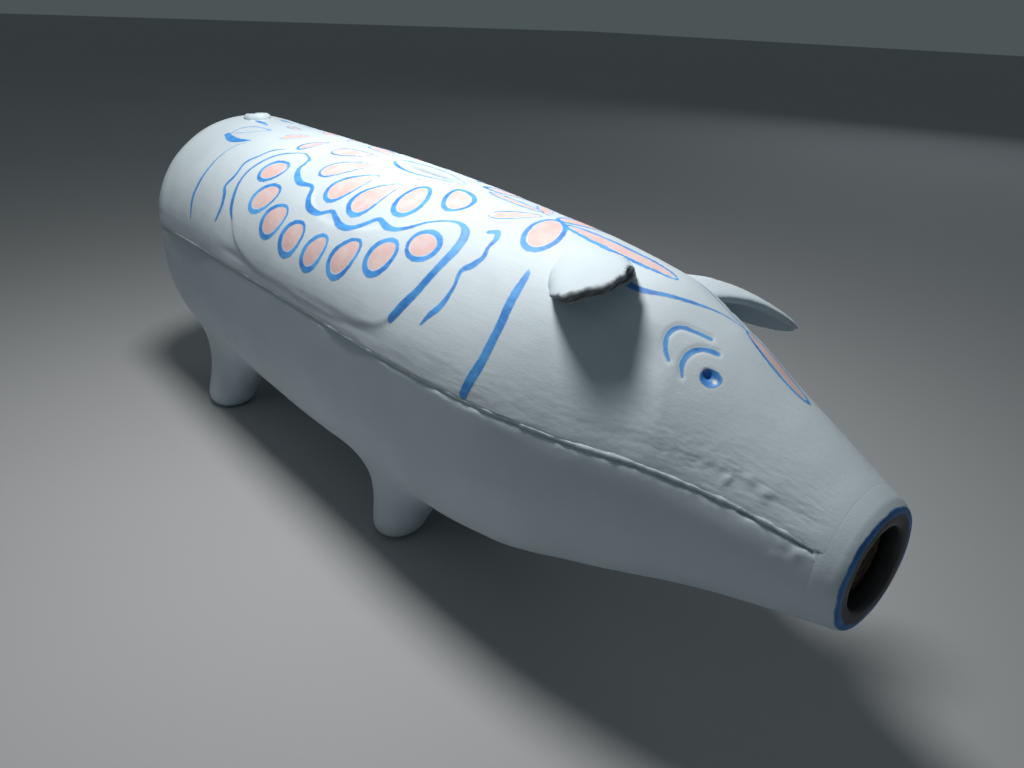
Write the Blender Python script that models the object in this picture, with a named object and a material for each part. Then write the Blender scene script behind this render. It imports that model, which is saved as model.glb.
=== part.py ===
"""Long-bodied pottery pig money bank, lying along X with its snout at +X.

Two moulded half shells meet on a level seam with a layer of joining slip between them.
A snout disc closes the open end of both halves and holds a cork. The ears and the tail
are separate pieces laid on the upper half. Sizes are in millimetres until to_world()
turns them into metres. Inside the profile functions X runs from the rear end of the
body; to_world() moves the origin under the middle of the body.
"""
from math import acos, cos, pi, radians, sin

import bmesh
import bpy
from mathutils import Vector

MM = 0.001

# ---- driving dimensions, mm -------------------------------------------------
LENGTH = 415.0
WALL = 5.0
GAP = 0.3                  # clearance between neighbouring pieces
SEAM_Z = 99.0
SLIP_THICKNESS = 1.2
LIP = 0.5                  # the upper half stands out and the lower one in by this much
REAR_DOME = 34.0           # length over which the rear end rounds off
DOME_POWER = 2.5

# The body's section is a superellipse. Each profile gives one of its sizes along X.
CENTRE_Z = ((0, 99), (190, 99), (245, 97), (295, 95), (335, 92), (378, 87.5), (415, 83))
HALF_WIDTH = ((0, 58.5), (60, 57), (190, 54.5), (245, 53.5), (295, 50), (335, 42.5),
              (378, 28), (415, 18.5))
TOP_Z = ((0, 155), (60, 154), (190, 152.5), (245, 150), (295, 147.5), (335, 143), (360, 133.5),
         (385, 119), (415, 101.5))
BELLY_Z = ((0, 25), (60, 22), (160, 20), (245, 21.5), (295, 28), (335, 40.5), (378, 54.5),
           (415, 64.5))
SEAM_LINE = ((0, SEAM_Z), (350, SEAM_Z), (378, 97), (415, 91))
CREST_POWER = ((0, 2.0), (210, 1.95), (285, 1.75), (357, 1.6), (395, 1.8), (415, 2.0))
BELLY_POWER = ((0, 3.0), (250, 3.0), (415, 2.0))

# Coin slot along the crest.
SLOT_X = 208.0
SLOT_LENGTH = 38.0
SLOT_WIDTH = 5.0

# Snout disc and cork.
DISC_THICKNESS = 6.0
DISC_EDGE = 1.0
DISC_REAR_RADIUS = 19.6    # meets the open end of the halves
DISC_HOLE = 12.4
DISC_SIDES = 48
CORK_RECESS = 5.0
CORK_LENGTH = 22.0
CORK_REAR_RADIUS = 10.6
CORK_EDGE = 0.8

# Stub legs: foot positions, then the leg's radius at heights above the ground.
FRONT_FOOT = (228.0, 30.0)
REAR_FOOT = (63.0, 40.0)
LEG_PROFILE = ((0, 9), (1.2, 12), (4, 14.2), (9, 15.5), (16, 16.2), (24, 17), (31, 18.5),
               (38, 20), (46, 20.5))
LEG_LEAN = 0.27            # inward shift per mm of height above LEG_LEAN_FROM
LEG_LEAN_FROM = 8.0
LEG_SIDES = 24

# Eyes and brow grooves on the upper half, given by X and distance from the crest line.
EYE_X = 365.5
EYE_Y = 14.5
EYE_RADIUS = 3.7
EYE_DEPTH = 2.8
BROWS = (
    # centre x, centre y, radius, first and last angle in degrees
    (357.5, 15.6, 7.8, 205, 80),
    (363.0, 15.3, 6.1, 212, 87),
)
BROW_GROOVE = 1.1
BROW_STEPS = 8

# Ears: root, tip, chord direction, half width and camber.
EARS = {
    "right_ear": ((319, -6, 139), (334, -46, 143), (0.90, 0.39, 0.25), 11.5, 4.5),
    "left_ear": ((333, 8, 132), (352, 49, 120), (0.75, -0.10, -0.62), 9.5, 4.0),
}
EAR_THICKNESS = 3.8
EAR_ROWS = 12
EAR_STEPS = 8

# Tail: one small curl lying on the rump.
TAIL_X = 43.0
TAIL_Y = -3.0
TAIL_RADIUS = 5.5
TAIL_THICKNESS = 3.0

# ---- mesh density -----------------------------------------------------------
DOME_STATIONS = 9
BODY_STATIONS = 30
ARC_STEPS = 30
CAVITY_DOME = 6
CAVITY_STATIONS = 18
CAVITY_STEPS = 32

GLAZE_WHITE = (0.80, 0.83, 0.85)
PAINT_BLUE = (0.06, 0.20, 0.46)
CORK_BROWN = (0.12, 0.085, 0.055)
SLIP_GREY = (0.62, 0.66, 0.68)


# ---- body surface -----------------------------------------------------------
def along(knots, x):
    """Smooth monotone cubic through (x, value) knots, flat beyond both ends."""
    if x <= knots[0][0]:
        return float(knots[0][1])
    if x >= knots[-1][0]:
        return float(knots[-1][1])
    steps = [(b[1] - a[1]) / (b[0] - a[0]) for a, b in zip(knots, knots[1:])]
    slopes = [steps[0]]
    for left, right in zip(steps, steps[1:]):
        slopes.append(2 * left * right / (left + right) if left * right > 0 else 0.0)
    slopes.append(steps[-1])
    k = max(i for i in range(len(knots) - 1) if knots[i][0] < x)
    (x0, y0), (x1, y1) = knots[k], knots[k + 1]
    span = x1 - x0
    t = (x - x0) / span
    rest = 1 - t
    start = rest * rest * ((1 + 2 * t) * y0 + t * span * slopes[k])
    return start + t * t * ((3 - 2 * t) * y1 - rest * span * slopes[k + 1])


def section(x, inset=0.0):
    """Centre height, half width, rise, drop and the two powers of the section at x."""
    run = min(max((x - inset) / (REAR_DOME - inset), 0.0), 1.0)
    dome = (1 - (1 - run) ** DOME_POWER) ** (1 / DOME_POWER)
    centre = along(CENTRE_Z, x)
    width = (along(HALF_WIDTH, x) - inset) * dome
    rise = (along(TOP_Z, x) - centre - inset) * dome
    drop = (centre - along(BELLY_Z, x) - inset) * dome
    return centre, width, rise, drop, along(CREST_POWER, x), along(BELLY_POWER, x)


def body_point(x, angle, inset=0.0):
    """Point of the section at x; the angle runs from the crest round the left flank."""
    centre, width, rise, drop, crest, belly = section(x, inset)
    c, s = cos(angle), sin(angle)
    power, reach = (crest, rise) if c >= 0 else (belly, -drop)
    y = width * abs(s) ** (2 / power) * (1 if s >= 0 else -1)
    return x, y, centre + reach * abs(c) ** (2 / power)


def angle_at(x, height):
    """Section angle at which the outside of the body stands at a height."""
    centre, _, rise, drop, crest, belly = section(x)
    if height >= centre:
        return acos(min((height - centre) / rise, 0.98) ** (crest / 2))
    return pi - acos(min((centre - height) / drop, 0.98) ** (belly / 2))


def crest_point(x, y, lift=0.0):
    """Point on the upper body over (x, y), raised along the surface normal."""

    def height(px, py):
        centre, width, rise, _, crest, _ = section(px)
        return centre + rise * (1 - min(abs(py) / (width + LIP), 1.0) ** crest) ** (1 / crest)

    here = Vector((x, y, height(x, y)))
    side = 0.4 if y >= 0 else -0.4
    dx = Vector((x + 0.4, y, height(x + 0.4, y))) - here
    dy = Vector((x, y + side, height(x, y + side))) - here
    normal = dx.cross(dy).normalized()
    return here + normal * (lift if normal.z > 0 else -lift)


def stations(first, dome_count, count, last):
    """X stations from the rear tip, gathered where the rear dome curves."""
    dome = REAR_DOME - first
    out = [first + dome * (1 - cos(pi / 2 * i / dome_count)) for i in range(1, dome_count)]
    out += [REAR_DOME + (last - REAR_DOME) * i / count for i in range(count + 1)]
    return out


# ---- solids -----------------------------------------------------------------
def to_world(point):
    x, y, z = point
    return ((x - LENGTH / 2) * MM, y * MM, z * MM)


def make_object(name, points, faces):
    mesh = bpy.data.meshes.new(name)
    mesh.from_pydata([to_world(p) for p in points], [], faces)
    work = bmesh.new()
    work.from_mesh(mesh)
    bmesh.ops.recalc_face_normals(work, faces=work.faces)
    work.to_mesh(mesh)
    work.free()
    obj = bpy.data.objects.new(name, mesh)
    bpy.context.scene.collection.objects.link(obj)
    return obj


def loft(name, loops, tip=None):
    """Closed solid through equal closed loops; the first end may close on a tip point."""
    n = len(loops[0])
    points = [p for loop in loops for p in loop]
    faces = []
    for i in range(len(loops) - 1):
        for j in range(n):
            k = (j + 1) % n
            faces.append((i * n + j, i * n + k, (i + 1) * n + k, (i + 1) * n + j))
    base = (len(loops) - 1) * n
    faces.append(tuple(base + j for j in range(n)))
    if tip is None:
        faces.append(tuple(reversed(range(n))))
    else:
        points.append(tip)
        faces += [(len(points) - 1, (j + 1) % n, j) for j in range(n)]
    return make_object(name, points, faces)


def combine(target, operation, tool):
    """Apply an exact boolean to the target and remove the tool."""
    mod = target.modifiers.new("cut", "BOOLEAN")
    mod.operation = operation
    mod.solver = "EXACT"
    mod.object = tool
    bpy.context.view_layer.update()
    graph = bpy.context.evaluated_depsgraph_get()
    result = bpy.data.meshes.new_from_object(target.evaluated_get(graph))
    old = target.data
    target.modifiers.clear()
    target.data = result
    bpy.data.meshes.remove(old)
    bpy.data.objects.remove(tool, do_unlink=True)


def finish(obj, colour, roughness):
    """Weld stray duplicates, turn the faces out and give the piece its own material."""
    work = bmesh.new()
    work.from_mesh(obj.data)
    bmesh.ops.remove_doubles(work, verts=work.verts, dist=0.02 * MM)
    bmesh.ops.dissolve_degenerate(work, edges=work.edges, dist=0.01 * MM)
    bmesh.ops.triangulate(work, faces=work.faces)
    bmesh.ops.recalc_face_normals(work, faces=work.faces)
    work.to_mesh(obj.data)
    work.free()
    mat = bpy.data.materials.new(obj.name + "_finish")
    mat.use_nodes = True
    bsdf = mat.node_tree.nodes["Principled BSDF"]
    bsdf.inputs["Base Color"].default_value = (*colour, 1.0)
    bsdf.inputs["Roughness"].default_value = roughness
    bsdf.inputs["Metallic"].default_value = 0.0
    obj.data.materials.clear()
    obj.data.materials.append(mat)


def whole_body(name, inset, last, fineness=1):
    """Solid filling the whole body, shrunk by inset."""
    steps = CAVITY_STEPS * fineness
    loops = []
    for x in stations(inset, CAVITY_DOME, CAVITY_STATIONS * fineness, last):
        loops.append([body_point(x, 2 * pi * j / steps, inset) for j in range(steps)])
    return loft(name, loops, tip=(inset, 0.0, SEAM_Z))


def half_body(name, upper):
    """Solid half of the body with a flat face next to the seam."""
    side = 1 if upper else -1
    offset = side * (SLIP_THICKNESS / 2 + GAP)
    loops = []
    for x in stations(0.0, DOME_STATIONS, BODY_STATIONS, LENGTH - DISC_THICKNESS - GAP):
        edge = angle_at(x, along(SEAM_LINE, x) + offset)
        width = section(x)[1]
        first, last = (-edge, edge) if upper else (edge, 2 * pi - edge)
        loop = []
        for j in range(ARC_STEPS + 1):
            _, y, z = body_point(x, first + (last - first) * j / ARC_STEPS)
            loop.append((x, y * (1 + side * LIP / width), z))
        loops.append(loop)
    return loft(name, loops, tip=(0.0, 0.0, SEAM_Z + offset))


def slot_cutter():
    """Upright prism with round ends for the coin slot."""
    half = SLOT_WIDTH / 2
    reach = SLOT_LENGTH / 2 - half
    outline = []
    for end in (1, -1):
        for i in range(7):
            angle = end * pi / 2 * (i / 3 - 1)
            outline.append((SLOT_X + end * reach + end * half * cos(angle), half * sin(angle)))
    loops = [[(x, y, z) for x, y in outline] for z in (TOP_Z[0][1] - 14, TOP_Z[0][1] + 8)]
    return loft("slot_cutter", loops)


def eye_cutter(side):
    """Round-bottomed pit square to the surface."""
    loops = []
    for lift, radius in ((1.5, EYE_RADIUS * 1.25), (-0.2, EYE_RADIUS), (-0.55 * EYE_DEPTH,
                         EYE_RADIUS * 0.72), (-EYE_DEPTH, EYE_RADIUS * 0.3)):
        centre = crest_point(EYE_X, side * EYE_Y, lift)
        out = (crest_point(EYE_X, side * EYE_Y, 5.0) - crest_point(EYE_X, side * EYE_Y)) / 5
        across = out.cross(Vector((1, 0, 0))).normalized()
        fore = across.cross(out)
        loops.append([tuple(centre + across * radius * cos(2 * pi * j / 16)
                            + fore * radius * sin(2 * pi * j / 16)) for j in range(16)])
    return loft("eye_cutter", loops)


def brow_cutter(brow, side):
    """Bent rod half sunk in the surface along one brow arc."""
    cx, cy, radius, first, last = brow
    path = []
    for i in range(BROW_STEPS + 1):
        angle = radians(first + (last - first) * i / BROW_STEPS)
        path.append(crest_point(cx + radius * cos(angle), side * (cy - radius * sin(angle)), 0.2))
    loops = []
    for i, here in enumerate(path):
        ahead = (path[min(i + 1, BROW_STEPS)] - path[max(i - 1, 0)]).normalized()
        up = (crest_point(here.x, here.y, 3.0) - crest_point(here.x, here.y)).normalized()
        across = ahead.cross(up).normalized()
        up = across.cross(ahead)
        thick = BROW_GROOVE * (1.0 if 0 < i < BROW_STEPS else 0.6)
        loops.append([tuple(here + across * thick * cos(2 * pi * j / 8)
                            + up * thick * sin(2 * pi * j / 8)) for j in range(8)])
    return loft("brow_cutter", loops)


def leg(foot, side):
    """Solid stub leg with a flat foot, leaning in under the belly."""
    x, y = foot
    loops = []
    for height, radius in LEG_PROFILE:
        inward = LEG_LEAN * max(height - LEG_LEAN_FROM, 0.0)
        loops.append([(x + radius * cos(2 * pi * j / LEG_SIDES),
                       side * (y - inward) + radius * sin(2 * pi * j / LEG_SIDES), height)
                      for j in range(LEG_SIDES)])
    return loft("leg", loops)


# ---- pieces -----------------------------------------------------------------
def build_upper_shell():
    shell = half_body("upper_shell", upper=True)
    combine(shell, "DIFFERENCE", whole_body("cavity", WALL, LENGTH + 4))
    combine(shell, "DIFFERENCE", slot_cutter())
    for side in (-1, 1):
        combine(shell, "DIFFERENCE", eye_cutter(side))
        for brow in BROWS:
            combine(shell, "DIFFERENCE", brow_cutter(brow, side))
    finish(shell, GLAZE_WHITE, 0.62)


def build_lower_shell():
    shell = half_body("lower_shell", upper=False)
    for foot in (FRONT_FOOT, REAR_FOOT):
        for side in (-1, 1):
            combine(shell, "UNION", leg(foot, side))
    combine(shell, "DIFFERENCE", whole_body("cavity", WALL, LENGTH + 4))
    finish(shell, GLAZE_WHITE, 0.66)


def build_joint_slip():
    """Flat layer between the two rims, swelling a little past the lower one."""
    last = LENGTH - DISC_THICKNESS - GAP
    flank = []
    for x in stations(0.0, DOME_STATIONS, BODY_STATIONS, last):
        _, y, z = body_point(x, angle_at(x, along(SEAM_LINE, x)))
        flank.append(Vector((x, y, z)))
    path = list(reversed(flank)) + [Vector((0.0, 0.0, SEAM_Z))]
    path += [Vector((p.x, -p.y, p.z)) for p in flank]
    half = SLIP_THICKNESS / 2
    profile = ((-WALL + GAP, half), (-GAP, half), (GAP, 0.35 * half), (GAP, -0.35 * half),
               (-GAP, -half), (-WALL + GAP, -half))
    loops = []
    for i, here in enumerate(path):
        ahead = path[min(i + 1, len(path) - 1)] - path[max(i - 1, 0)]
        outward = Vector((ahead.y, -ahead.x, 0.0)).normalized()
        if i in (0, len(path) - 1):
            outward = Vector((0.0, 1.0 if i == 0 else -1.0, 0.0))
        if outward.dot(here - Vector((LENGTH / 2, 0, SEAM_Z))) < 0:
            outward = -outward
        ring = [here + outward * out + Vector((0, 0, up)) for out, up in profile]
        loops.append([(max(p.x, 0.0), p.y, p.z) for p in ring])
    slip = loft("joint_slip", loops)
    finish(slip, SLIP_GREY, 0.8)


def build_snout_disc():
    """Flat ring closing the muzzle, with softened outer edges."""
    radius = HALF_WIDTH[-1][1]
    centre = CENTRE_Z[-1][1]
    back = LENGTH - DISC_THICKNESS
    section_line = ((back, DISC_HOLE), (back, DISC_REAR_RADIUS), (LENGTH - DISC_EDGE, radius),
                    (LENGTH, radius - DISC_EDGE), (LENGTH, DISC_HOLE + 0.6),
                    (LENGTH - 0.6, DISC_HOLE))
    n = len(section_line)
    points = []
    for i in range(DISC_SIDES):
        angle = 2 * pi * i / DISC_SIDES
        points += [(x, r * cos(angle), centre + r * sin(angle)) for x, r in section_line]
    faces = []
    for i in range(DISC_SIDES):
        k = (i + 1) % DISC_SIDES
        for j in range(n):
            m = (j + 1) % n
            faces.append((i * n + j, i * n + m, k * n + m, k * n + j))
    finish(make_object("snout_disc", points, faces), PAINT_BLUE, 0.5)


def build_cork():
    """Tapered stopper set back inside the disc; its origin lies on its axis."""
    front = LENGTH - CORK_RECESS
    front_radius = DISC_HOLE - GAP
    rear = front - CORK_LENGTH
    centre = CENTRE_Z[-1][1]
    outline = ((rear, CORK_REAR_RADIUS - CORK_EDGE), (rear + CORK_EDGE, CORK_REAR_RADIUS),
               (front - CORK_EDGE, front_radius), (front, front_radius - CORK_EDGE))
    loops = []
    for x, radius in outline:
        loops.append([(x, radius * cos(2 * pi * j / 32), centre + radius * sin(2 * pi * j / 32))
                      for j in range(32)])
    cork = loft("cork_stopper", loops)
    finish(cork, CORK_BROWN, 0.85)
    origin = Vector(to_world((front, 0.0, centre)))
    for vertex in cork.data.vertices:
        vertex.co -= origin
    cork.location = origin


def build_ear(name):
    """Cambered leaf from its root in the head to its tip, trimmed to the body's surface."""
    root, tip, chord, half_width, camber = EARS[name]
    root, tip, chord = Vector(root), Vector(tip), Vector(chord).normalized()
    axis = (tip - root).normalized()
    chord = (chord - axis * chord.dot(axis)).normalized()
    up = axis.cross(chord)
    if up.z < 0:
        up = -up
    loops = []
    for i in range(EAR_ROWS + 1):
        t = i / EAR_ROWS
        width = half_width * (0.78 + 0.5 * t) * (1 - t ** 2.6) ** 0.75 + 1.2
        thick = EAR_THICKNESS * (1 - 0.45 * t)
        centre = root + (tip - root) * t + up * 5.0 * sin(pi * t) * 0.5
        over, under = [], []
        for j in range(EAR_STEPS + 1):
            s = 2 * j / EAR_STEPS - 1
            bend = camber * (1 - t * 0.5) * (1 - s * s)
            half = thick / 2 * (1 - s * s) ** 0.5
            over.append(tuple(centre + chord * width * s + up * (bend + half + 0.3)))
            under.append(tuple(centre + chord * width * s + up * (bend - half - 0.3)))
        loops.append(over + under[::-1])
    ear = loft(name, loops)
    combine(ear, "DIFFERENCE", whole_body("head", -GAP - LIP, LENGTH, fineness=2))
    finish(ear, GLAZE_WHITE, 0.62)


def build_tail():
    """One flattened curl of clay, trimmed to the rump."""
    steps = 20
    path = []
    for i in range(steps + 1):
        turn = i / steps
        angle = radians(150 - 330 * turn)
        radius = TAIL_RADIUS * (1 - 0.35 * turn)
        path.append(crest_point(TAIL_X + 1.4 * radius * cos(angle), TAIL_Y + radius * sin(angle),
                                0.6 + 0.8 * sin(pi * turn)))
    loops = []
    for i, here in enumerate(path):
        ahead = (path[min(i + 1, steps)] - path[max(i - 1, 0)]).normalized()
        across = ahead.cross(Vector((0, 0, 1))).normalized()
        up = across.cross(ahead)
        thick = TAIL_THICKNESS * (0.35 + 0.65 * sin(pi * (0.12 + 0.8 * i / steps)))
        loops.append([tuple(here + across * thick * 0.85 * cos(2 * pi * j / 10)
                            + up * thick * sin(2 * pi * j / 10)) for j in range(10)])
    tail = loft("tail", loops)
    combine(tail, "DIFFERENCE", whole_body("rump", -GAP - LIP, LENGTH, fineness=2))
    finish(tail, GLAZE_WHITE, 0.62)


for leftover in list(bpy.data.objects):
    bpy.data.objects.remove(leftover, do_unlink=True)
build_upper_shell()
build_lower_shell()
build_joint_slip()
build_snout_disc()
build_cork()
for ear_name in EARS:
    build_ear(ear_name)
build_tail()
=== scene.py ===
"""Looks of a hand-painted pottery pig money bank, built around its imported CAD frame.

Lengths are in millimetres until to_world() turns them into metres. X runs from the rear end
of the body. Painted shapes are placed by (x, s): s is the distance round the body's flank
from the crest line, negative on the pig's right side.
"""
from math import cos, pi, radians, sin

import bmesh
import bpy
import numpy as np
from mathutils import Matrix, Vector, noise


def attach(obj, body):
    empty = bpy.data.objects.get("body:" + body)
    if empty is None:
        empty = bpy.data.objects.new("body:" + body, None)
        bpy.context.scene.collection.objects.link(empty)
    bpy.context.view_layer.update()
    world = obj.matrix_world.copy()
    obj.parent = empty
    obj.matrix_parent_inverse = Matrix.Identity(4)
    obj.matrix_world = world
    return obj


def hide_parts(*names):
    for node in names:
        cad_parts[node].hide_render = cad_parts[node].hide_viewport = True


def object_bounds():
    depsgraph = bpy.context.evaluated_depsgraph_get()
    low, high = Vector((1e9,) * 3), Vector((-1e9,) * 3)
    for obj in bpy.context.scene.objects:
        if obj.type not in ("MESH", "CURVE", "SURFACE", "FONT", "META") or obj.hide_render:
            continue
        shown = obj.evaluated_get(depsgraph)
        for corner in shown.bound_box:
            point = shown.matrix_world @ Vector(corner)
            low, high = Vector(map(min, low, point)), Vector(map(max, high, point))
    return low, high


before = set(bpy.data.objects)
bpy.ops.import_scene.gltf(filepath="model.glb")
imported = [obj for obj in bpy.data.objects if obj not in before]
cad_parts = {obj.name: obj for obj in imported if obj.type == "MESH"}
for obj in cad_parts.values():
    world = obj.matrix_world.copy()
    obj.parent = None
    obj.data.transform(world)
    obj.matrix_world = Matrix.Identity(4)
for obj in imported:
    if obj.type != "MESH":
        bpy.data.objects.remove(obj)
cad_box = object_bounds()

MM = 0.001
cad_low, cad_high = (np.array(corner) / MM for corner in cad_box)
REAR = cad_low[0]
LENGTH = cad_high[0] - cad_low[0]

# ---- the body's shape, as in the CAD part ----------------------------------------------
WALL = 5.0
SEAM_Z = 99.0
SEAM_GAP = 0.40
DISC_THICKNESS = 6.0
REAR_DOME = 34.0
DOME_POWER = 2.5
CENTRE_Z = ((0, 99), (190, 99), (245, 97), (295, 95), (335, 92), (378, 87.5), (415, 83))
HALF_WIDTH = ((0, 58.5), (60, 57), (190, 54.5), (245, 53.5), (295, 50), (335, 42.5),
              (378, 28), (415, 18.5))
TOP_Z = ((0, 155), (60, 154), (190, 152.5), (245, 150), (295, 147.5), (335, 143), (360, 133.5),
         (385, 119), (415, 101.5))
BELLY_Z = ((0, 25), (60, 22), (160, 20), (245, 21.5), (295, 28), (335, 40.5), (378, 54.5),
           (415, 64.5))
SEAM_LINE = ((0, SEAM_Z), (350, SEAM_Z), (378, 97), (415, 91))
CREST_POWER = ((0, 2.0), (210, 1.95), (285, 1.75), (357, 1.6), (395, 1.8), (415, 2.0))
BELLY_POWER = ((0, 3.0), (250, 3.0), (415, 2.0))
BODY_END = LENGTH - DISC_THICKNESS
BORE = 12.4
CORK_RECESS = 5.0
CORK_LENGTH = 22.0
CORK_REAR = 10.6
CORK_FRONT = 12.05

SLOT_X = 208.0
SLOT_LENGTH = 38.0
SLOT_WIDTH = 5.0

LEGS = ((228.0, 30.0), (63.0, 40.0))
LEG_PROFILE = ((0, 9), (0.8, 11.2), (2.6, 13.3), (6, 14.8), (11, 15.6), (18, 16.2), (26, 17.2),
               (34, 19), (46, 20.5))
LEG_LEAN = 0.27
LEG_LEAN_FROM = 8.0


# ---- small maths -----------------------------------------------------------------------
def along(knots, x):
    """Smooth monotone cubic through (x, value) knots, for an array of x."""
    kx, ky = np.array(knots, float).T
    step = np.diff(ky) / np.diff(kx)
    pair = step[:-1] * step[1:]
    inner = np.where(pair > 0, 2 * pair / np.where(pair > 0, step[:-1] + step[1:], 1.0), 0.0)
    slope = np.concatenate([step[:1], inner, step[-1:]])
    k = np.clip(np.searchsorted(kx, x) - 1, 0, len(kx) - 2)
    span = kx[k + 1] - kx[k]
    t = np.clip((x - kx[k]) / span, 0, 1)
    rest = 1 - t
    start = rest * rest * ((1 + 2 * t) * ky[k] + t * span * slope[k])
    return start + t * t * ((3 - 2 * t) * ky[k + 1] - rest * span * slope[k + 1])


def smooth(edge0, edge1, value):
    t = np.clip((value - edge0) / (edge1 - edge0), 0, 1)
    return t * t * (3 - 2 * t)


def ripple(points, scale, seed=0.0):
    """Gradient noise at an array of points; scale is one number or three, per mm."""
    flat = np.asarray(points).reshape(-1, 3) * scale + seed
    out = np.fromiter((noise.noise(p) for p in flat), float, len(flat))
    return out.reshape(np.shape(points)[:-1])


def curve(points, step=0.5, closed=False):
    """Dense Catmull-Rom curve through rows of numbers; the first two are x and s."""
    p = np.array(points, float)
    if closed:
        p = np.vstack([p[-1], p, p[:2]])
    else:
        p = np.vstack([2 * p[0] - p[1], p, 2 * p[-1] - p[-2]])
    out = []
    for a, b, c, d in zip(p, p[1:], p[2:], p[3:]):
        count = max(int(np.hypot(*(c - b)[:2]) / step), 2)
        t = np.arange(count)[:, None] / count
        out.append(0.5 * (2 * b + (c - a) * t + (2 * a - 5 * b + 4 * c - d) * t ** 2
                          + (3 * b - a - 3 * c + d) * t ** 3))
    if not closed:
        out.append(p[-2:-1])
    return np.vstack(out)


# ---- body surface ----------------------------------------------------------------------
def section(x, inset=0.0):
    run = np.clip((x - inset) / (REAR_DOME - inset), 0, 1)
    dome = (1 - (1 - run) ** DOME_POWER) ** (1 / DOME_POWER)
    centre = along(CENTRE_Z, x)
    width = (along(HALF_WIDTH, x) - inset) * dome
    rise = (along(TOP_Z, x) - centre - inset) * dome
    drop = (centre - along(BELLY_Z, x) - inset) * dome
    return centre, width, rise, drop, along(CREST_POWER, x), along(BELLY_POWER, x)


def body(x, angle, inset=0.0):
    """Points of the body; the angle runs from the crest round the left flank."""
    centre, width, rise, drop, crest, belly = section(x, inset)
    c, s = np.cos(angle), np.sin(angle)
    power = np.where(c >= 0, crest, belly)
    y = width * np.abs(s) ** (2 / power) * np.sign(s)
    z = centre + np.where(c >= 0, rise, -drop) * np.abs(c) ** (2 / power)
    return np.stack([x + 0 * y, y, z], axis=-1)


def angle_at(x, height):
    centre, _, rise, drop, crest, belly = section(x)
    above = np.arccos(np.clip((height - centre) / rise, 0, 0.98) ** (crest / 2))
    below = pi - np.arccos(np.clip((centre - height) / drop, 0, 0.98) ** (belly / 2))
    return np.where(height >= centre, above, below)


def crest_height(x, y):
    centre, width, rise, _, crest, _ = section(np.asarray(x, float))
    return centre + rise * (1 - np.clip(np.abs(y) / width, 0, 1) ** crest) ** (1 / crest)


def grid_normals(grid):
    du = np.gradient(grid, axis=0)
    dv = np.gradient(grid, axis=1)
    n = np.cross(du, dv)
    return n / np.maximum(np.linalg.norm(n, axis=-1, keepdims=True), 1e-9)


# ---- mesh helpers ----------------------------------------------------------------------
def to_world(points):
    return (np.asarray(points, float) + (REAR, 0, 0)) * MM


def make_mesh(name, points, faces):
    mesh = bpy.data.meshes.new(name)
    mesh.from_pydata(to_world(points).tolist(), [], faces)
    work = bmesh.new()
    work.from_mesh(mesh)
    bmesh.ops.remove_doubles(work, verts=work.verts, dist=0.01 * MM)
    bmesh.ops.recalc_face_normals(work, faces=work.faces)
    work.to_mesh(mesh)
    work.free()
    obj = bpy.data.objects.new(name, mesh)
    bpy.context.scene.collection.objects.link(obj)
    shade(obj)
    return obj


def shade(obj):
    obj.data.polygons.foreach_set("use_smooth", [True] * len(obj.data.polygons))
    obj.data.update()


def grid_faces(rows, columns, base=0, around=False):
    faces = []
    for i in range(rows - 1):
        for j in range(columns if around else columns - 1):
            k = (j + 1) % columns
            a, b = base + i * columns, base + (i + 1) * columns
            faces.append((a + j, a + k, b + k, b + j))
    return faces


def bridge(one, one_at, two, two_at):
    """Triangles between two rows of vertices placed by a number along each row."""
    faces, i, j = [], 0, 0
    while i < len(one) - 1 or j < len(two) - 1:
        if j == len(two) - 1 or (i < len(one) - 1 and one_at[i + 1] <= two_at[j + 1]):
            faces.append((one[i], one[i + 1], two[j]))
            i += 1
        else:
            faces.append((one[i], two[j + 1], two[j]))
            j += 1
    return faces


def shell_mesh(name, outer, inner):
    """Closed shell from two grids whose columns run from one seam edge to the other."""
    points, faces, rims = [], [], []
    for grid in (outer, inner):
        rows, columns = grid.shape[:2]
        base = len(points)
        points += grid.reshape(-1, 3).tolist()
        faces += grid_faces(rows, columns, base)
        tip = len(points)
        points.append(((grid[0, 0] + grid[0, -1]) / 2 * (0, 1, 1)
                       + (max(grid[0, 0, 0] - 0.15, 0.02), 0, 0)).tolist())
        faces += [(tip, base + j, base + j + 1) for j in range(columns - 1)]
        side = [base + i * columns for i in range(rows)]
        front = [base + (rows - 1) * columns + j for j in range(columns)]
        rim = [tip] + side + front[1:] + [v + columns - 1 for v in side[::-1]][1:] + [tip]
        run = grid[:, 0, 0] / LENGTH
        at = np.concatenate([[0], run, 1 + np.arange(1, columns) / columns,
                             3 - run[::-1][1:], [3]])
        rims.append((rim, at))
    (one, one_at), (two, two_at) = rims
    return make_mesh(name, points, faces + bridge(one, one_at, two, two_at))


def replace_data(obj, mesh):
    old = obj.data
    obj.data = mesh
    bpy.data.meshes.remove(old)


def apply_modifiers(obj):
    graph = bpy.context.evaluated_depsgraph_get()
    mesh = bpy.data.meshes.new_from_object(obj.evaluated_get(graph))
    obj.modifiers.clear()
    replace_data(obj, mesh)


def cut(obj, tool):
    mod = obj.modifiers.new("cut", "BOOLEAN")
    mod.operation = "DIFFERENCE"
    mod.solver = "EXACT"
    mod.object = tool
    bpy.context.view_layer.update()
    apply_modifiers(obj)
    bpy.data.objects.remove(tool, do_unlink=True)


def vertices(obj):
    out = np.empty(len(obj.data.vertices) * 3)
    obj.data.vertices.foreach_get("co", out)
    return out.reshape(-1, 3) / MM - (REAR, 0, 0)


def set_vertices(obj, points):
    obj.data.vertices.foreach_set("co", to_world(points).ravel())
    obj.data.update()


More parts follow.
